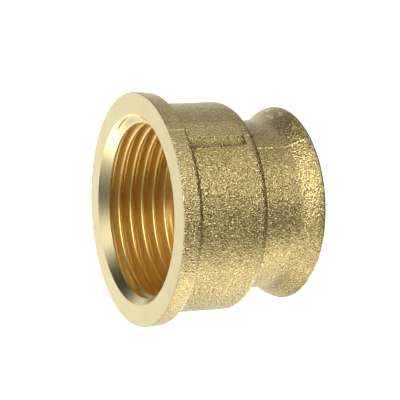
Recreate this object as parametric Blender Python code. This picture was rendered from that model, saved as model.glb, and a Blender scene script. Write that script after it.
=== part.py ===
"""Female reducing coupling, G1 x G3/4, banded brass pattern.

One casting: a collar round the large mouth, a barrel with two ribs on the mould's parting plane, a step
down to the neck, and a flared bead round the small mouth. Both ends have right-hand Whitworth pipe threads.

Frame: the bore axis is Z. The origin is the centre of the small end's machined face, the large mouth is up,
and the two ribs are on +X and -X. Metres, written here in millimetres times MM.
"""

import math

import bmesh
import bpy

MM = 0.001

# Pipe threads to ISO 228: major radius, minor radius and pitch
LARGE_MAJOR = 33.249 / 2 * MM
LARGE_MINOR = 30.291 / 2 * MM
LARGE_PITCH = 2.309 * MM
SMALL_MAJOR = 26.441 / 2 * MM
SMALL_MINOR = 24.117 / 2 * MM
SMALL_PITCH = 1.814 * MM
FLANK_ANGLE = math.radians(27.5)
FLAT_PART = 1 / 12  # half of the flat crest or root, as a part of the pitch

# Heights above the small end's face
LENGTH = 28.7 * MM
COLLAR_WIDTH = 3.5 * MM
STEP_HEIGHT = 11.5 * MM
FLARE_HEIGHT = 4.05 * MM
BEAD_HEIGHT = 1.45 * MM

# Outer radii
COLLAR_RADIUS = 20.6 * MM
COLLAR_BACK_RADIUS = 20.45 * MM
BARREL_RADIUS = 18.45 * MM
BARREL_FOOT_RADIUS = 18.65 * MM
NECK_RADIUS = 15.05 * MM
FLARE_RADIUS = 15.25 * MM
BEAD_TOP_RADIUS = 17.15 * MM
BEAD_RADIUS = 17.8 * MM

# Roundings of the outer surface
FACE_EDGE_ROUND = 0.15 * MM
EDGE_ROUND = 0.9 * MM
COLLAR_FILLET = 1.0 * MM
STEP_ROUND = 1.7 * MM
NECK_FILLET = 0.8 * MM
FLARE_ROUND = 4.0 * MM
BEAD_TOP_ROUND = 2.5 * MM
BEAD_ROUND = 0.55 * MM

# Bores
LARGE_CHAMFER_RADIUS = 16.8 * MM
LARGE_CHAMFER_DEPTH = 1.55 * MM
SMALL_CHAMFER_RADIUS = 13.4 * MM
SMALL_CHAMFER_DEPTH = 1.3 * MM
LARGE_BORE_DEPTH = 15.0 * MM
CONE_LENGTH = 1.8 * MM

# Ribs on the parting plane
RIB_CROWN = 20.3 * MM
RIB_CROWN_WIDTH = 3.5 * MM
RIB_FOOT_WIDTH = 4.6 * MM
RIB_END = 14.6 * MM  # distance from the large face
RIB_END_ROUND = 1.2 * MM
RIB_ROOT = 17.3 * MM  # hidden inside the barrel's wall

# Threads: where each groove crosses +X, and how the cutters run in and out
LARGE_GROOVE_AT_X = 25.33 * MM
SMALL_GROOVE_AT_X = 1.1 * MM
CUTTER_INSIDE_BORE = 0.1 * MM
RUN_OUT_TURNS = 0.6
LARGE_THREAD_END = 14.1 * MM  # depth of the groove's end below its face
SMALL_THREAD_END = 10.6 * MM

SEGMENTS = 48
ROUND_STEPS = 3

BRASS_COLOUR = (0.40, 0.26, 0.09, 1.0)
BRASS_ROUGHNESS = 0.38
SHARP_ANGLE = math.radians(35)


def clear_scene():
    for old in list(bpy.data.objects):
        bpy.data.objects.remove(old, do_unlink=True)


def brass_material():
    material = bpy.data.materials.new("brass")
    material.use_nodes = True
    shader = material.node_tree.nodes["Principled BSDF"]
    shader.inputs["Base Color"].default_value = BRASS_COLOUR
    shader.inputs["Metallic"].default_value = 1.0
    shader.inputs["Roughness"].default_value = BRASS_ROUGHNESS
    return material


def new_object(name, mesh):
    made = bpy.data.objects.new(name, mesh)
    bpy.context.scene.collection.objects.link(made)
    return made


def rounded_corner(before, corner, after, radius, steps):
    """Points of the arc that rounds a corner between two straight runs, all as (radius, height)."""
    to_before = (before[0] - corner[0], before[1] - corner[1])
    to_after = (after[0] - corner[0], after[1] - corner[1])
    before_length = math.hypot(*to_before)
    after_length = math.hypot(*to_after)
    start_way = (to_before[0] / before_length, to_before[1] / before_length)
    end_way = (to_after[0] / after_length, to_after[1] / after_length)
    half_angle = math.acos(start_way[0] * end_way[0] + start_way[1] * end_way[1]) / 2
    setback = radius / math.tan(half_angle)
    bisector = (start_way[0] + end_way[0], start_way[1] + end_way[1])
    bisector_length = math.hypot(*bisector)
    reach = radius / math.sin(half_angle) / bisector_length
    centre = (corner[0] + bisector[0] * reach, corner[1] + bisector[1] * reach)
    first = (corner[0] + start_way[0] * setback, corner[1] + start_way[1] * setback)
    last = (corner[0] + end_way[0] * setback, corner[1] + end_way[1] * setback)
    first_angle = math.atan2(first[1] - centre[1], first[0] - centre[0])
    last_angle = math.atan2(last[1] - centre[1], last[0] - centre[0])
    sweep = (last_angle - first_angle + math.pi) % (2 * math.pi) - math.pi
    points = []
    for step in range(steps + 1):
        angle = first_angle + sweep * step / steps
        points.append((centre[0] + radius * math.cos(angle), centre[1] + radius * math.sin(angle)))
    return points


def rounded_outline(corners, steps):
    """A closed outline of (radius, height, rounding) corners, with each rounding as an arc."""
    points = []
    for index, (radius, height, rounding) in enumerate(corners):
        if rounding == 0:
            points.append((radius, height))
            continue
        before = corners[index - 1]
        after = corners[(index + 1) % len(corners)]
        points += rounded_corner(before, (radius, height), after, rounding, steps)
    return points


def body_outline():
    """The half section of the blank, down its outer side and back up through the bores."""
    collar_back = LENGTH - COLLAR_WIDTH
    cone_top = LENGTH - LARGE_BORE_DEPTH
    corners = [
        (COLLAR_RADIUS, LENGTH, FACE_EDGE_ROUND),
        (COLLAR_BACK_RADIUS, collar_back, EDGE_ROUND),
        (BARREL_RADIUS, collar_back, COLLAR_FILLET),
        (BARREL_FOOT_RADIUS, STEP_HEIGHT, STEP_ROUND),
        (NECK_RADIUS, STEP_HEIGHT, NECK_FILLET),
        (FLARE_RADIUS, FLARE_HEIGHT, FLARE_ROUND),
        (BEAD_TOP_RADIUS, BEAD_HEIGHT, BEAD_TOP_ROUND),
        (BEAD_RADIUS, 0.0, BEAD_ROUND),
        (SMALL_CHAMFER_RADIUS, 0.0, 0),
        (SMALL_MINOR, SMALL_CHAMFER_DEPTH, 0),
        (SMALL_MINOR, cone_top - CONE_LENGTH, 0),
        (LARGE_MINOR, cone_top, 0),
        (LARGE_MINOR, LENGTH - LARGE_CHAMFER_DEPTH, 0),
        (LARGE_CHAMFER_RADIUS, LENGTH, 0),
    ]
    return rounded_outline(corners, ROUND_STEPS)


def turned_blank(name):
    """The body before its ribs and threads: its half section, turned round Z by a Screw modifier."""
    outline = body_outline()
    mesh = bpy.data.meshes.new(name)
    edges = [(index, (index + 1) % len(outline)) for index in range(len(outline))]
    mesh.from_pydata([(radius, 0.0, height) for radius, height in outline], edges, [])
    blank = new_object(name, mesh)
    turning = blank.modifiers.new("turning", "SCREW")
    turning.axis = "Z"
    turning.steps = SEGMENTS
    turning.render_steps = SEGMENTS
    turning.use_merge_vertices = True
    turning.merge_threshold = 0.00001
    turning.use_smooth_shade = True
    return blank


def rib_half_width(distance):
    """Half of a rib's width at a distance from the axis: its flanks are drafted for the mould."""
    draft = (RIB_FOOT_WIDTH - RIB_CROWN_WIDTH) / 2 / (RIB_CROWN - BARREL_RADIUS)
    return RIB_CROWN_WIDTH / 2 + (RIB_CROWN - distance) * draft


def rib(name, side):
    """A rib on +X (side 1) or -X (side -1), from inside the collar to its rounded lower end."""
    top = LENGTH - COLLAR_WIDTH / 2
    bottom = LENGTH - RIB_END
    corners = [(RIB_ROOT, top, 0), (RIB_CROWN, top, 0), (RIB_CROWN, bottom, RIB_END_ROUND), (RIB_ROOT, bottom, 0)]
    outline = rounded_outline(corners, 2 * ROUND_STEPS)
    shape = bmesh.new()
    loops = []
    for hand in (-1, 1):
        loop = [shape.verts.new((side * x, hand * rib_half_width(x), z)) for x, z in outline]
        shape.faces.new(loop)
        loops.append(loop)
    for index in range(len(outline)):
        following = (index + 1) % len(outline)
        shape.faces.new((loops[0][index], loops[1][index], loops[1][following], loops[0][following]))
    bmesh.ops.recalc_face_normals(shape, faces=shape.faces)
    mesh = bpy.data.meshes.new(name)
    shape.to_mesh(mesh)
    shape.free()
    return new_object(name, mesh)


def thread_cutter(name, major, minor, pitch, groove_at_x, mouth, end, into):
    """The helical cutter of a right-hand thread.

    Its groove's middle crosses +X at the height groove_at_x, give or take whole pitches. The cutter starts
    outside the mouth, runs into the bore (into is 1 upwards, -1 downwards) and fades out at the height end.
    """
    bore_side = minor - CUTTER_INSIDE_BORE
    start = mouth - into * 1.5 * pitch
    first_step = round((start - groove_at_x) / pitch * SEGMENTS)
    last_step = round((end - groove_at_x) / pitch * SEGMENTS)
    steps = range(first_step, last_step + into, into)
    shape = bmesh.new()
    rings = []
    for step in steps:
        turns_left = abs(last_step - step) / SEGMENTS
        depth = min(1.0, turns_left / RUN_OUT_TURNS)
        root = bore_side + (major - bore_side) * max(depth, 0.02)
        root_half = pitch * FLAT_PART
        base_half = root_half + (root - bore_side) * math.tan(FLANK_ANGLE)
        angle = 2 * math.pi * step / SEGMENTS
        middle = groove_at_x + pitch * step / SEGMENTS
        section = [(bore_side, -base_half), (bore_side, base_half), (root, root_half), (root, -root_half)]
        ring = []
        for radius, offset in section:
            place = (radius * math.cos(angle), radius * math.sin(angle), middle + offset)
            ring.append(shape.verts.new(place))
        rings.append(ring)
    for ring, following in zip(rings, rings[1:]):
        for corner in range(4):
            other = (corner + 1) % 4
            shape.faces.new((ring[corner], ring[other], following[other], following[corner]))
    shape.faces.new(rings[0])
    shape.faces.new(rings[-1])
    bmesh.ops.recalc_face_normals(shape, faces=shape.faces)
    mesh = bpy.data.meshes.new(name)
    shape.to_mesh(mesh)
    shape.free()
    return new_object(name, mesh)


def apply_tool(body, tool, operation):
    """Join a shape to the body, or cut it out, and hide the tool."""
    step = body.modifiers.new(tool.name, "BOOLEAN")
    step.operation = operation
    step.solver = "EXACT"
    step.object = tool
    tool.hide_render = True
    tool.display_type = "WIRE"


def make_coupling():
    body = turned_blank("coupling_body")
    apply_tool(body, rib("rib_right", 1), "UNION")
    apply_tool(body, rib("rib_left", -1), "UNION")
    large_cutter = thread_cutter(
        "large_thread_cutter",
        LARGE_MAJOR,
        LARGE_MINOR,
        LARGE_PITCH,
        LARGE_GROOVE_AT_X,
        LENGTH,
        LENGTH - LARGE_THREAD_END,
        -1,
    )
    small_cutter = thread_cutter(
        "small_thread_cutter",
        SMALL_MAJOR,
        SMALL_MINOR,
        SMALL_PITCH,
        SMALL_GROOVE_AT_X,
        0.0,
        SMALL_THREAD_END,
        1,
    )
    apply_tool(body, large_cutter, "DIFFERENCE")
    apply_tool(body, small_cutter, "DIFFERENCE")
    body.data.materials.append(brass_material())
    return body


def finish_shading(body):
    """Apply the body's modifiers, and shade its mesh smooth with sharp edges."""
    graph = bpy.context.evaluated_depsgraph_get()
    mesh = bpy.data.meshes.new_from_object(body.evaluated_get(graph))
    body.modifiers.clear()
    body.data = mesh
    mesh.shade_smooth()
    mesh.set_sharp_from_angle(angle=SHARP_ANGLE)


clear_scene()
finish_shading(make_coupling())
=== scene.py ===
"""Looks of a brass reducing coupling: one casting, with machined ends and threads cut in it.

Frame: the bore axis is Z, the small end's face is at 0 and the large mouth is up. The ribs are on +X and -X.
Metres, written here in millimetres times MM.
"""

import math
from dataclasses import dataclass

import bmesh
import bpy
from mathutils import Euler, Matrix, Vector, noise


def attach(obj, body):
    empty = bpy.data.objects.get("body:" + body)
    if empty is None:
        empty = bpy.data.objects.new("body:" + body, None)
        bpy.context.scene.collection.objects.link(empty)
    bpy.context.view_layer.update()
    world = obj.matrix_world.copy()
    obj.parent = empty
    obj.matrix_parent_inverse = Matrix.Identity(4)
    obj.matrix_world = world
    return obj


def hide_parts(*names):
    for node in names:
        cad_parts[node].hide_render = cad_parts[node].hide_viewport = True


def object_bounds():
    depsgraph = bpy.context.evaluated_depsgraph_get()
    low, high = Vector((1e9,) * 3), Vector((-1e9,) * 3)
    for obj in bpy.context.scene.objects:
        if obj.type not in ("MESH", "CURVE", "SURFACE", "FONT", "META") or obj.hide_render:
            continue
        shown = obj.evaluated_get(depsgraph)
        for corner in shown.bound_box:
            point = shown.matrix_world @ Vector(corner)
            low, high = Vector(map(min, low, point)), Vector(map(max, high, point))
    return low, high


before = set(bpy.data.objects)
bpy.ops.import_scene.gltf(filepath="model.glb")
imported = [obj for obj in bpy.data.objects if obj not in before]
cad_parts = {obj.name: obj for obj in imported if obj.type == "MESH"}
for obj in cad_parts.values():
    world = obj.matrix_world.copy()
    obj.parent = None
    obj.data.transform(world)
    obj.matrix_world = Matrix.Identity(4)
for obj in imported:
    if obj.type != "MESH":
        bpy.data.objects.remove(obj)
cad_low, cad_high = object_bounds()

MM = 0.001
NODE = "coupling_body"
BODY = "root"

# The body's outside, as in the CAD model
LENGTH = cad_high.z
COLLAR_RADIUS = cad_high.x
COLLAR_WIDTH = 3.5 * MM
COLLAR_BACK_RADIUS = 20.45 * MM
COLLAR_BACK_SLOPE = 0.25 * MM
BARREL_RADIUS = 18.45 * MM
BARREL_FOOT_RADIUS = 18.65 * MM
STEP_HEIGHT = 11.5 * MM
NECK_RADIUS = 15.05 * MM
FLARE_RADIUS = 15.25 * MM
FLARE_HEIGHT = 4.05 * MM
BEAD_TOP_RADIUS = 17.15 * MM
BEAD_RADIUS = 17.8 * MM
BEAD_HEIGHT = 1.45 * MM
FACE_EDGE_ROUND = 0.15 * MM
EDGE_ROUND = 0.9 * MM
COLLAR_FILLET = 1.0 * MM
STEP_ROUND = 1.7 * MM
NECK_FILLET = 0.8 * MM
FLARE_ROUND = 4.0 * MM
BEAD_TOP_ROUND = 2.5 * MM
BEAD_ROUND = 0.55 * MM

# Ribs
RIB_CROWN = 20.3 * MM
RIB_CROWN_WIDTH = 3.5 * MM
RIB_FOOT_WIDTH = 4.6 * MM
RIB_END_HEIGHT = LENGTH - 14.6 * MM
RIB_END_SLOPE = math.tan(math.radians(20))
RIB_END_ROUND = 1.2 * MM
RIB_EDGE_BLEND = 0.45 * MM
RIB_END_BLEND = 3.0 * MM
RIB_FOOT_BLEND = 0.5 * MM
RIB_END_REACH = 2.2 * MM  # how far above and below its height a rib's end is meshed finely

# Bores
LARGE_MOUTH_RADIUS = 16.8 * MM
SMALL_MOUTH_RADIUS = 13.4 * MM
CONE_TOP = LENGTH - 15.0 * MM
CONE_BOTTOM = CONE_TOP - 1.8 * MM
WHITWORTH_FLANK = math.radians(27.5)
WHITWORTH_ROUND = 0.1373  # radius of crest and root, as a part of the pitch
RUN_OUT_TURNS = 0.6
RUN_IN_START = 0.12  # depth of the groove's middle where it begins, in pitches
RUN_IN_LENGTH = 0.18  # way over which the groove deepens from there, in pitches

# Cast skin
WAVE_SIZE = 2.2 * MM
WAVE_HEIGHT = 0.035 * MM
CUT_REACH = 0.6 * MM  # how far from an end face the cutting has trued up the cast skin
RIDGE_HEIGHT = 0.12 * MM
RIDGE_WIDTH = 0.14 * MM
RIDGE_FADE = 0.4 * MM

# Fineness of the mesh
FINE_ANGLE = math.radians(9.6)
FINE_COLUMNS = 64
WIDE_COLUMNS = 72
BORE_COLUMNS = 144
ROW_SPACING = 0.38 * MM
FINE_ROW_SPACING = 0.14 * MM
ARC_SPACING = 0.16 * MM
THREAD_ARC_STEPS = 3
THREAD_FLANK_STEPS = 3
SNAP = 0.03 * MM  # least distance between a bore's end and the first vertices of its wall
HALVINGS = 30
SHARP_ANGLE = math.radians(38)
SAME_HEIGHT = 0.001 * MM

# Material slots of the mesh
CAST = 0
MACHINED = 1
THREADS = 2

# Camera: a long lens that looks into the large mouth from the side, rolled so that the bore axis is
# nearly level in view
CAMERA_PLACE = Vector((178.87, -144.96, 126.84)) * MM
CAMERA_TURN = Euler([math.radians(angle) for angle in (-6.225, 64.091, -46.214)])
LENS = 128.53
SENSOR = 36.0


@dataclass
class Thread:
    """A bore with an internal pipe thread. Its depth runs from the mouth: upwards if into is 1, else down.
    Major and minor are radii."""

    major: float
    minor: float
    pitch: float
    groove_at_x: float
    mouth: float
    into: int
    mouth_radius: float
    chamfer_depth: float
    groove_end: float
    inner_end: float

    def groove_depth(self, part):
        """Depth of the groove at a distance from its middle, both as parts of the pitch: ISO 228 form."""
        arc_reach = WHITWORTH_ROUND * math.cos(WHITWORTH_FLANK)
        arc_rise = WHITWORTH_ROUND * (1 - math.sin(WHITWORTH_FLANK))
        whole = (self.major - self.minor) / self.pitch
        if part <= arc_reach:
            return whole - WHITWORTH_ROUND + math.sqrt(WHITWORTH_ROUND**2 - part**2)
        if part >= 0.5 - arc_reach:
            return WHITWORTH_ROUND - math.sqrt(max(0.0, WHITWORTH_ROUND**2 - (0.5 - part) ** 2))
        return whole - arc_rise - (part - arc_reach) / math.tan(WHITWORTH_FLANK)

    def thread_radius(self, angle, height):
        """Radius of the threaded wall. The groove deepens at its start and fades out at its end."""
        turns = (height - self.groove_at_x) / self.pitch - angle / (2 * math.pi)
        middle = height - (turns - round(turns)) * self.pitch
        left = self.groove_end - (middle - self.mouth) * self.into
        run_out = min(1.0, max(0.0, left / (RUN_OUT_TURNS * self.pitch)))
        past_mouth = (middle - self.mouth) * self.into / self.pitch
        run_in = min(1.0, max(0.0, (past_mouth - RUN_IN_START) / RUN_IN_LENGTH))
        return self.minor + self.groove_depth(abs(turns - round(turns))) * self.pitch * run_out * run_in

    def chamfer_radius(self, height):
        """Radius of the mouth's chamfer, carried on as a cone."""
        depth = (height - self.mouth) * self.into
        return self.mouth_radius - depth * (self.mouth_radius - self.minor) / self.chamfer_depth


LARGE_THREAD = Thread(
    major=33.249 / 2 * MM,
    minor=30.291 / 2 * MM,
    pitch=2.309 * MM,
    groove_at_x=25.33 * MM,
    mouth=LENGTH,
    into=-1,
    mouth_radius=LARGE_MOUTH_RADIUS,
    chamfer_depth=1.55 * MM,
    groove_end=14.1 * MM,
    inner_end=CONE_TOP,
)
SMALL_THREAD = Thread(
    major=26.441 / 2 * MM,
    minor=24.117 / 2 * MM,
    pitch=1.814 * MM,
    groove_at_x=1.1 * MM,
    mouth=0.0,
    into=1,
    mouth_radius=SMALL_MOUTH_RADIUS,
    chamfer_depth=1.3 * MM,
    groove_end=10.6 * MM,
    inner_end=CONE_BOTTOM,
)


# The outside


def rounded_corner(before, corner, after, radius):
    """Points of the arc that rounds a corner between two straight runs, all as (radius, height)."""
    corner = Vector(corner)
    start_way = (Vector(before) - corner).normalized()
    end_way = (Vector(after) - corner).normalized()
    half_angle = math.acos(start_way.dot(end_way)) / 2
    bisector = (start_way + end_way).normalized()
    centre = corner + bisector * (radius / math.sin(half_angle))
    first = corner + start_way * (radius / math.tan(half_angle)) - centre
    last = corner + end_way * (radius / math.tan(half_angle)) - centre
    sweep = first.angle(last)
    steps = max(3, math.ceil(radius * sweep / ARC_SPACING))
    side = (first - bisector * first.dot(bisector)).normalized()
    points = []
    for step in range(steps + 1):
        angle = sweep * (step / steps - 0.5)
        along = centre - bisector * radius * math.cos(angle)
        points.append(tuple(along - side * radius * math.sin(angle)))
    return points


def outer_rows():
    """The outer half section from the large face's edge to the small face's edge, as (radius, height)."""
    collar_back = LENGTH - COLLAR_WIDTH
    corners = [
        (LARGE_MOUTH_RADIUS, LENGTH, 0),
        (COLLAR_RADIUS, LENGTH, FACE_EDGE_ROUND),
        (COLLAR_BACK_RADIUS, collar_back, EDGE_ROUND),
        (BARREL_RADIUS, collar_back - COLLAR_BACK_SLOPE, COLLAR_FILLET),
        (BARREL_FOOT_RADIUS, STEP_HEIGHT, STEP_ROUND),
        (NECK_RADIUS, STEP_HEIGHT, NECK_FILLET),
        (FLARE_RADIUS, FLARE_HEIGHT, FLARE_ROUND),
        (BEAD_TOP_RADIUS, BEAD_HEIGHT, BEAD_TOP_ROUND),
        (BEAD_RADIUS, 0.0, BEAD_ROUND),
        (SMALL_MOUTH_RADIUS, 0.0, 0),
    ]
    rows = []
    for before, corner, after in zip(corners, corners[1:], corners[2:]):
        arc = rounded_corner(before[:2], corner[:2], after[:2], corner[2])
        if rows:
            rows += straight_run(rows[-1], arc[0])
        rows += arc
    return rows


def straight_run(start, end):
    """Points between two others, closer together on the barrel's side where the ribs end."""
    start = Vector(start)
    end = Vector(end)
    points = []
    place = start.copy()
    way = (end - start).normalized()
    upright = abs(way.y) > 0.9
    while True:
        near_rib_end = upright and abs(place.y - RIB_END_HEIGHT) < RIB_END_REACH
        place = place + way * (FINE_ROW_SPACING if near_rib_end else ROW_SPACING)
        if (end - place).dot(way) < FINE_ROW_SPACING / 2:
            return points
        points.append(tuple(place))


def columns():
    """Angles round the body: close together across the ribs, wide apart between them."""
    wide = math.pi - 2 * FINE_ANGLE
    angles = []
    for half in range(2):
        start = half * math.pi - FINE_ANGLE
        angles += [start + 2 * FINE_ANGLE * step / FINE_COLUMNS for step in range(FINE_COLUMNS)]
        angles += [start + 2 * FINE_ANGLE + wide * step / WIDE_COLUMNS for step in range(WIDE_COLUMNS)]
    return angles


def smooth_min(first, second, blend):
    """The lesser of two values, rounded off where they differ by less than the blend."""
    near = max(blend - abs(first - second), 0) / blend
    return min(first, second) - near * near * blend / 4


def smooth_max(first, second, blend):
    return -smooth_min(-first, -second, blend)


def rib_radius(angle, height):
    """Distance from the axis to a rib's surface: a flat crown, drafted flanks and a sloping end."""
    offset = abs((angle + math.pi / 2) % math.pi - math.pi / 2)
    draft = (RIB_FOOT_WIDTH - RIB_CROWN_WIDTH) / 2 / (RIB_CROWN - BARREL_RADIUS)
    past_end = min(1.0, max(0.0, 1 - (height - RIB_END_HEIGHT) / RIB_END_ROUND))
    drop = RIB_END_ROUND * (1 - math.sqrt(1 - past_end**2))
    crown = (RIB_CROWN - drop) / math.cos(offset)
    flank = (RIB_CROWN_WIDTH / 2 + draft * RIB_CROWN) / (math.sin(offset) + draft * math.cos(offset))
    end = (BARREL_RADIUS + (height - RIB_END_HEIGHT) / RIB_END_SLOPE) / math.cos(offset)
    side = smooth_min(flank, end, RIB_END_BLEND)
    return smooth_min(crown, side, RIB_EDGE_BLEND)


def body_radius(turned_radius, angle, height):
    """Distance from the axis to the outer surface, with the ribs blended into the barrel."""
    collar_back = LENGTH - COLLAR_WIDTH
    blend = RIB_FOOT_BLEND * min(1.0, max(0.1, (collar_back - height) / COLLAR_FILLET))
    return smooth_max(turned_radius, rib_radius(angle, height), blend)


def add_outside(shape):
    """The cast skin, as rows of vertices from the large face's edge down to the small face's edge."""
    angles = columns()
    rows = []
    for turned_radius, height in outer_rows():
        row = []
        for angle in angles:
            radius = body_radius(turned_radius, angle, height)
            row.append(shape.verts.new((radius * math.cos(angle), radius * math.sin(angle), height)))
        rows.append(row)
    for row, following in zip(rows, rows[1:]):
        for index in range(len(angles)):
            other = (index + 1) % len(angles)
            face = shape.faces.new((row[index], following[index], following[other], row[other]))
            face.material_index = CAST
    return rows


def parting_ridge(place):
    """Height of the fine ridge where the mould's halves met: along y = 0, but not on the ribs' crowns."""
    ridge = math.exp(-((place.y / RIDGE_WIDTH) ** 2))
    collar_back = LENGTH - COLLAR_WIDTH
    inside_rib = min(place.z - RIB_END_HEIGHT, collar_back - place.z) / RIDGE_FADE
    return RIDGE_HEIGHT * ridge * min(1.0, max(0.0, 1 - inside_rib))


def roughen_casting(shape, rows):
    """Give the cast skin its slight waviness and its parting ridge, both fading out at the cut faces."""
    shape.normal_update()
    skin = [vertex for row in rows[1:-1] for vertex in row]
    moves = []
    for vertex in skin:
        wave = noise.noise(vertex.co / WAVE_SIZE) + 0.5 * noise.noise(vertex.co / (WAVE_SIZE * 0.4))
        from_cut = min(vertex.co.z, LENGTH - vertex.co.z)
        cast = min(1.0, max(0.0, from_cut / CUT_REACH))
        moves.append(vertex.normal * cast * (WAVE_HEIGHT * wave + parting_ridge(vertex.co)))
    for vertex, move in zip(skin, moves):
        vertex.co += move


# The bores


def levels_of_turn():
    """Places along one pitch, as parts of it, from one groove's middle to the next."""
    reach = WHITWORTH_ROUND * math.cos(WHITWORTH_FLANK)
    arc = [reach * step / THREAD_ARC_STEPS for step in range(THREAD_ARC_STEPS + 1)]
    flank_steps = range(1, THREAD_FLANK_STEPS)
    flank = [reach + (0.5 - 2 * reach) * step / THREAD_FLANK_STEPS for step in flank_steps]
    half = arc + flank + [0.5 - place for place in reversed(arc)]
    return half + [1 - place for place in reversed(half[1:-1])]


def bore_heights(thread, angle, levels):
    """Heights of a column's vertices by level, between the bore's two ends, and the set of levels that lie
    on the chamfer's edge. The vertex nearest to that edge is moved onto it.

    Known fault: where that is the vertex above the edge, all those above it are moved there too. In the
    large bore this bunches them on the chamfer, and the triangles between them have no area. In the small
    bore it flattens the thread as well, over about half of the way round."""
    low = min(thread.mouth, thread.inner_end) + SNAP
    high = max(thread.mouth, thread.inner_end) - SNAP
    base = thread.groove_at_x + thread.pitch * angle / (2 * math.pi)
    first = math.floor((low - base) / thread.pitch) - 1
    last = math.ceil((high - base) / thread.pitch) + 1
    heights = {}
    for turn in range(first, last + 1):
        for step, level in enumerate(levels):
            height = base + thread.pitch * (turn + level)
            if low < height < high:
                heights[turn * len(levels) + step] = height

    def past_chamfer(height):
        return thread.thread_radius(angle, height) - thread.chamfer_radius(height)

    edges = set()
    for index in sorted(heights)[:-1]:
        lower = heights[index]
        upper = heights[index + 1]
        if past_chamfer(lower) * past_chamfer(upper) >= 0:
            continue
        sign = 1 if past_chamfer(upper) > 0 else -1
        crossing = lower
        beyond = upper
        for _ in range(HALVINGS):
            middle = (crossing + beyond) / 2
            if past_chamfer(middle) * sign > 0:
                beyond = middle
            else:
                crossing = middle
        nearest = index if crossing - lower < upper - crossing and index not in edges else index + 1
        heights[nearest] = crossing
        edges.add(nearest)
    return heights, edges


def add_bore(shape, thread):
    """The wall of a threaded bore, on a helical grid that follows its grooves. Returns its two end rings."""
    levels = levels_of_turn()
    angles = [2 * math.pi * index / BORE_COLUMNS for index in range(BORE_COLUMNS)]

    def vertex_at(angle, radius, height):
        return shape.verts.new((radius * math.cos(angle), radius * math.sin(angle), height))

    mouth_ring = [vertex_at(angle, thread.mouth_radius, thread.mouth) for angle in angles]
    inner_ring = [vertex_at(angle, thread.minor, thread.inner_end) for angle in angles]
    lower_ring, upper_ring = (mouth_ring, inner_ring) if thread.into == 1 else (inner_ring, mouth_ring)
    grid = []
    edges = set()
    on_chamfer = set(mouth_ring)
    for angle in angles:
        heights, at_edge = bore_heights(thread, angle, levels)
        column = {}
        for index, height in heights.items():
            groove = thread.thread_radius(angle, height)
            cone = thread.chamfer_radius(height)
            column[index] = vertex_at(angle, max(groove, cone), height)
            if index in at_edge:
                edges.add(column[index])
            if index in at_edge or cone > groove:
                on_chamfer.add(column[index])
        grid.append(column)

    def corner(column, level):
        if column == BORE_COLUMNS:
            column = 0
            level += len(levels)
        found = grid[column].get(level)
        if found is not None:
            return found
        return lower_ring[column] if level < min(grid[column]) else upper_ring[column]

    first = min(min(column) for column in grid) - 1
    last = max(max(column) for column in grid) + 1
    for column in range(BORE_COLUMNS):
        for level in range(first - len(levels), last + 1):
            corners = [
                corner(column, level),
                corner(column + 1, level),
                corner(column + 1, level + 1),
                corner(column, level + 1),
            ]
            if corners[1] in edges and corners[3] in edges:
                parts = [(corners[3], corners[0], corners[1]), (corners[1], corners[2], corners[3])]
            elif corners[0] in edges and corners[2] in edges:
                parts = [(corners[0], corners[1], corners[2]), (corners[2], corners[3], corners[0])]
            else:
                parts = [corners]
            for part in parts:
                distinct = list(dict.fromkeys(part))
                if len(distinct) < 3:
                    continue
                face = shape.faces.new(distinct)
                turned = all(vertex in on_chamfer for vertex in distinct)
                face.material_index = MACHINED if turned else THREADS
    return mouth_ring, inner_ring


def add_flat_ring(shape, outer, inner):
    """A flat ring of triangles between two round loops, which may have different numbers of vertices."""

    def turn(vertex):
        return math.atan2(vertex.co.y, vertex.co.x) % (2 * math.pi)

    def turn_after(loop, index):
        return turn(loop[index + 1]) if index + 1 < len(loop) else 2 * math.pi + turn(loop[0])

    outer = sorted(outer, key=turn)
    inner = sorted(inner, key=turn)
    first = 0
    second = 0
    while first < len(outer) or second < len(inner):
        next_outer = turn_after(outer, first)
        next_inner = turn_after(inner, second)
        here = (outer[first % len(outer)], inner[second % len(inner)])
        if second >= len(inner) or (first < len(outer) and next_outer <= next_inner):
            first += 1
            face = shape.faces.new((*here, outer[first % len(outer)]))
        else:
            second += 1
            face = shape.faces.new((*here, inner[second % len(inner)]))
        face.material_index = MACHINED


def make_coupling():
    """The whole casting as one closed mesh: skin, two flat faces, two bores and the cone between them."""
    shape = bmesh.new()
    rows = add_outside(shape)
    large_mouth, large_inner = add_bore(shape, LARGE_THREAD)
    small_mouth, small_inner = add_bore(shape, SMALL_THREAD)
    add_flat_ring(shape, rows[0], large_mouth)
    add_flat_ring(shape, rows[-1], small_mouth)
    for index in range(BORE_COLUMNS):
        other = (index + 1) % BORE_COLUMNS
        upper = (large_inner[index], large_inner[other])
        lower = (small_inner[other], small_inner[index])
        face = shape.faces.new(upper + lower)
        face.material_index = THREADS
    bmesh.ops.recalc_face_normals(shape, faces=shape.faces)
    roughen_casting(shape, rows)
    mesh = bpy.data.meshes.new("brass_coupling")
    shape.to_mesh(mesh)
    shape.free()
    shade(mesh)
    return mesh


def shade(mesh):
    """Smooth shading, with sharp edges at the cuts and round the outer rims of the two machined faces."""
    mesh.shade_smooth()
    mesh.set_sharp_from_angle(angle=SHARP_ANGLE)
    rims = ((LENGTH, COLLAR_RADIUS - EDGE_ROUND), (0.0, BEAD_RADIUS - 2 * BEAD_ROUND))
    for edge in mesh.edges:
        ends = [mesh.vertices[index].co for index in edge.vertices]
        for height, least_radius in rims:
            if all(abs(end.z - height) < SAME_HEIGHT and end.xy.length > least_radius for end in ends):
                edge.use_edge_sharp = True


# Materials


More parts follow.
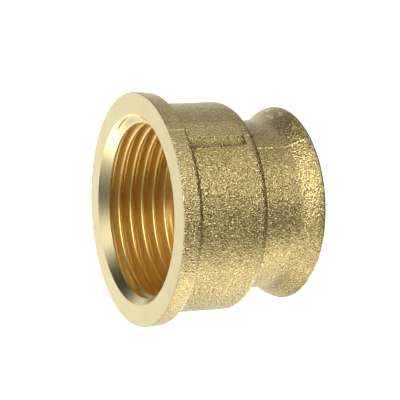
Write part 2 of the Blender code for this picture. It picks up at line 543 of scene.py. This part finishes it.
class Nodes:
    """Short forms for building a node tree."""

    def __init__(self, tree):
        self.tree = tree

    def add(self, kind, inputs=(), **settings):
        node = self.tree.nodes.new(kind)
        for name, value in settings.items():
            setattr(node, name, value)
        for socket, value in dict(inputs).items():
            if isinstance(value, bpy.types.NodeSocket):
                self.tree.links.new(value, node.inputs[socket])
            else:
                node.inputs[socket].default_value = value
        return node

    def math(self, operation, first, second=0.0):
        return self.add("ShaderNodeMath", {0: first, 1: second}, operation=operation).outputs[0]

    def noise(self, place, size, detail=2.0):
        """Noise with features of about this size in metres."""
        inputs = {"Vector": place, "Scale": 1 / size, "Detail": detail}
        return self.add("ShaderNodeTexNoise", inputs).outputs["Fac"]

    def stretch(self, value, low, high, new_low=0.0, new_high=1.0):
        inputs = {0: value, 1: low, 2: high, 3: new_low, 4: new_high}
        return self.add("ShaderNodeMapRange", inputs).outputs[0]

    def mix(self, factor, first, second):
        node = self.add("ShaderNodeMix", data_type="RGBA")
        for socket, value in ((0, factor), (6, first), (7, second)):
            if isinstance(value, bpy.types.NodeSocket):
                self.tree.links.new(value, node.inputs[socket])
            else:
                node.inputs[socket].default_value = value
        return node.outputs[2]

    def distance_from_axis(self, place):
        flat = self.add("ShaderNodeVectorMath", {0: place, 1: (1, 1, 0)}, operation="MULTIPLY").outputs[0]
        return self.add("ShaderNodeVectorMath", {0: flat}, operation="LENGTH").outputs["Value"]

    def bump(self, height, distance, normal=None):
        inputs = {"Height": height, "Distance": distance}
        if normal is not None:
            inputs["Normal"] = normal
        return self.add("ShaderNodeBump", inputs).outputs[0]


# Tones of the brass, and the painted glints, highlights and shade put on it
MACHINED_TONE = (0.86, 0.75, 0.41, 1)
MACHINED_PALE = (0.90, 0.79, 0.45, 1)
CAST_TONE = (0.53, 0.41, 0.170, 1)
CAST_PALE = (0.61, 0.47, 0.200, 1)
# Painted glint, put on the raised specks of the cast grain
CAST_PAINTED_GLINT = (0.84, 0.70, 0.36, 1)
# Painted shade, put in the dents of the cast grain
CAST_PAINTED_PIT_SHADE = (0.30, 0.21, 0.08, 1)
# Painted highlight for the outermost cast surfaces, the collar and the ribs' crowns
CAST_PAINTED_HIGHLIGHT = (0.80, 0.64, 0.31, 1)
# Painted highlight on the cast skin's convex edges
PAINTED_EDGE_HIGHLIGHT = (0.90, 0.80, 0.55, 1)
# Painted shade for the cast skin's concave corners
PAINTED_CORNER_SHADE = (0.10, 0.07, 0.03, 1)
# Painted shade and painted reflection of brass on brass, for the threads deeper in the bores
THREAD_PAINTED_DEEP_SHADE = (0.82, 0.59, 0.20, 1)
THREAD_PAINTED_DEEP_SHADE_PALE = (0.88, 0.64, 0.23, 1)


def new_metal(name):
    """A metal without its tone: its material, nodes, shader and the place on the object, in metres."""
    material = bpy.data.materials.new(name)
    material.use_nodes = True
    nodes = Nodes(material.node_tree)
    shader = material.node_tree.nodes["Principled BSDF"]
    shader.inputs["Metallic"].default_value = 1.0
    place = nodes.add("ShaderNodeTexCoord").outputs["Object"]
    return material, nodes, shader, place


def cast_brass():
    """Shot-blasted skin: a fine grain, with painted glints on its raised specks and painted shade in its
    dents. A painted highlight brightens it where it stands furthest out, on the collar and the ribs'
    crowns, and it has a painted highlight on its edges and painted shade in its corners."""
    material, nodes, shader, place = new_metal("brass_cast_skin")
    grain = nodes.noise(place, 0.27 * MM, 1.0)
    dents = nodes.noise(place, 0.75 * MM)
    patches = nodes.noise(place, 5.0 * MM, 3.0)
    # Mask of a painted highlight where the skin stands furthest out
    outer_highlight_mask = nodes.stretch(nodes.distance_from_axis(place), 18.9 * MM, 20.1 * MM, 0.0, 0.45)
    curvature = nodes.add("ShaderNodeNewGeometry").outputs["Pointiness"]
    # Mask of a painted highlight on convex edges
    edges = nodes.stretch(curvature, 0.535, 0.60, 0.0, 0.8)
    # Mask of painted shade in concave corners
    corners = nodes.stretch(curvature, 0.485, 0.44, 0.0, 0.85)
    tone = nodes.mix(nodes.stretch(patches, 0.35, 0.65), CAST_TONE, CAST_PALE)
    # Painted glints on the grain's raised specks, then painted shade in its dents
    tone = nodes.mix(nodes.stretch(grain, 0.54, 0.70), tone, CAST_PAINTED_GLINT)
    tone = nodes.mix(nodes.stretch(grain, 0.46, 0.28), tone, CAST_PAINTED_PIT_SHADE)
    # Painted highlight on the collar and the ribs' crowns
    tone = nodes.mix(outer_highlight_mask, tone, CAST_PAINTED_HIGHLIGHT)
    # Painted highlight on the convex edges
    tone = nodes.mix(edges, tone, PAINTED_EDGE_HIGHLIGHT)
    # Painted shade in the concave corners
    tone = nodes.mix(corners, tone, PAINTED_CORNER_SHADE)
    nodes.tree.links.new(tone, shader.inputs["Base Color"])
    nodes.tree.links.new(nodes.stretch(grain, 0.3, 0.7, 0.36, 0.24), shader.inputs["Roughness"])
    coarse = nodes.bump(dents, 0.07 * MM)
    nodes.tree.links.new(nodes.bump(grain, 0.17 * MM, coarse), shader.inputs["Normal"])
    return material


def machined_brass():
    """Turned faces and chamfers: bright, with fine rings left by the tool."""
    material, nodes, shader, place = new_metal("brass_machined")
    height = nodes.add("ShaderNodeSeparateXYZ", {0: place}).outputs[2]
    tool_travel = nodes.math("ADD", nodes.distance_from_axis(place), height)
    ring_place = nodes.add("ShaderNodeCombineXYZ", {0: tool_travel}).outputs[0]
    rings = nodes.noise(ring_place, 0.12 * MM)
    patches = nodes.noise(place, 3.0 * MM)
    tone = nodes.mix(nodes.stretch(patches, 0.3, 0.7), MACHINED_TONE, MACHINED_PALE)
    nodes.tree.links.new(tone, shader.inputs["Base Color"])
    nodes.tree.links.new(nodes.stretch(rings, 0.3, 0.7, 0.26, 0.34), shader.inputs["Roughness"])
    nodes.tree.links.new(nodes.bump(rings, 0.003 * MM), shader.inputs["Normal"])
    return material


def thread_brass():
    """Cut threads: pale like the faces at the mouths, and deeper in the bores a painted shade and painted
    reflection of brass on brass make them darker and more orange; with the tool's faint chatter.
    """
    material, nodes, shader, place = new_metal("brass_threads")
    height = nodes.add("ShaderNodeSeparateXYZ", {0: place}).outputs[2]
    from_large = nodes.stretch(height, LENGTH - 1.2 * MM, LENGTH - 3.6 * MM)
    from_small = nodes.stretch(height, 1.0 * MM, 3.4 * MM)
    # Mask of painted shade and reflection, growing with the distance from both mouths
    deep_shade_mask = nodes.math("MINIMUM", from_large, from_small)
    chatter = nodes.noise(place, 0.5 * MM)
    # Tone of the painted shade and reflection, varied by the tool's chatter
    deep_painted_tone = nodes.mix(nodes.stretch(chatter, 0.35, 0.65), THREAD_PAINTED_DEEP_SHADE, THREAD_PAINTED_DEEP_SHADE_PALE)
    nodes.tree.links.new(nodes.mix(deep_shade_mask, MACHINED_TONE, deep_painted_tone), shader.inputs["Base Color"])
    shader.inputs["Roughness"].default_value = 0.36
    nodes.tree.links.new(nodes.bump(chatter, 0.01 * MM), shader.inputs["Normal"])
    return material


# Studio


def add_camera():
    data = bpy.data.cameras.new("camera")
    data.lens = LENS
    data.sensor_width = SENSOR
    data.clip_start = 0.01
    data.clip_end = 10.0
    camera = bpy.data.objects.new("camera", data)
    camera.location = CAMERA_PLACE
    camera.rotation_euler = CAMERA_TURN
    bpy.context.scene.collection.objects.link(camera)
    bpy.context.scene.camera = camera


# Soft lights round the object, each as seen from the camera: the way to its middle (right, up, towards the
# camera), how narrow it is, and how bright
GLOWS = {
    "key": ((-0.42, 0.20, 0.89), 70, 11.0),
    "key_above": ((-0.42, 0.50, 0.76), 60, 8.0),
    "key_left": ((-0.74, 0.38, 0.55), 45, 0.8),
    "front": ((0.10, 0.70, 0.70), 15, 0.8),
    "front_right": ((0.73, 0.30, 0.61), 50, 7.0),
    "right_above": ((0.45, 0.88, 0.10), 15, 1.0),
    "above": ((0.10, 0.85, -0.52), 12, 0.35),
    "right_low": ((0.53, -0.85, -0.03), 22, 3.5),
    "behind_right": ((0.43, -0.50, -0.75), 15, 2.4),
    "left_low": ((-0.65, -0.75, -0.10), 20, 3.0),
    "left_low_front": ((-0.66, -0.62, 0.42), 25, 0.2),
    "below_front": ((-0.11, -0.87, 0.48), 15, 2.6),
    "behind_left_low": ((-0.41, -0.41, -0.82), 15, 1.5),
    "behind_left": ((-0.72, 0.05, -0.69), 15, 0.92),
    "behind_left_high": ((-0.44, 0.50, -0.74), 25, 0.5),
    "behind_above": ((-0.08, 0.28, -0.95), 10, 1.15),
}


def add_world():
    """White to the camera, and the soft lights to everything else."""
    world = bpy.data.worlds.new("studio")
    bpy.context.scene.world = world
    world.use_nodes = True
    nodes = Nodes(world.node_tree)
    background = world.node_tree.nodes["Background"]
    way = nodes.add("ShaderNodeTexCoord").outputs["Generated"]
    light = 0.0
    for direction, narrowness, brightness in GLOWS.values():
        middle = (CAMERA_TURN.to_matrix() @ Vector(direction)).normalized()
        dot = nodes.add("ShaderNodeVectorMath", {0: way, 1: middle}, operation="DOT_PRODUCT")
        closeness = dot.outputs["Value"]
        power = nodes.math("MULTIPLY", nodes.math("SUBTRACT", closeness, 1.0), narrowness)
        glow = nodes.math("MULTIPLY", nodes.math("EXPONENT", power), brightness)
        light = nodes.math("ADD", glow, light)
    seen = nodes.add("ShaderNodeLightPath").outputs["Is Camera Ray"]
    strength = nodes.add("ShaderNodeMix", {0: seen, 2: light, 3: 1.0}).outputs[0]
    background.inputs["Color"].default_value = (1, 1, 1, 1)
    nodes.tree.links.new(strength, background.inputs["Strength"])


def add_floor():
    """A plain white floor under the small end. It takes a faint shadow, and the brass doesn't reflect it."""
    material = bpy.data.materials.new("floor")
    material.use_nodes = True
    shader = material.node_tree.nodes["Principled BSDF"]
    shader.inputs["Base Color"].default_value = (0.9, 0.9, 0.9, 1)
    shader.inputs["Roughness"].default_value = 0.9
    shader.inputs["Specular IOR Level"].default_value = 0.0
    shader.inputs["Emission Color"].default_value = (1, 1, 1, 1)
    shader.inputs["Emission Strength"].default_value = 0.9
    half = 4000 * MM
    corners = [(-half, -half, 0), (half, -half, 0), (half, half, 0), (-half, half, 0)]
    mesh = bpy.data.meshes.new("floor")
    mesh.from_pydata(corners, [], [(0, 1, 2, 3)])
    mesh.materials.append(material)
    floor = bpy.data.objects.new("floor", mesh)
    floor.location.z = -0.02 * MM
    floor.visible_diffuse = False
    floor.visible_glossy = False
    floor.visible_transmission = False
    floor.visible_shadow = False
    bpy.context.scene.collection.objects.link(floor)


def add_coupling():
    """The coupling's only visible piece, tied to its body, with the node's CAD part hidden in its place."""
    mesh = make_coupling()
    for material in (cast_brass(), machined_brass(), thread_brass()):
        mesh.materials.append(material)
    coupling = bpy.data.objects.new("brass_coupling", mesh)
    bpy.context.scene.collection.objects.link(coupling)
    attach(coupling, BODY)
    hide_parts(NODE)


add_camera()
add_coupling()
add_floor()
add_world()
bpy.context.scene.view_settings.view_transform = "Standard"
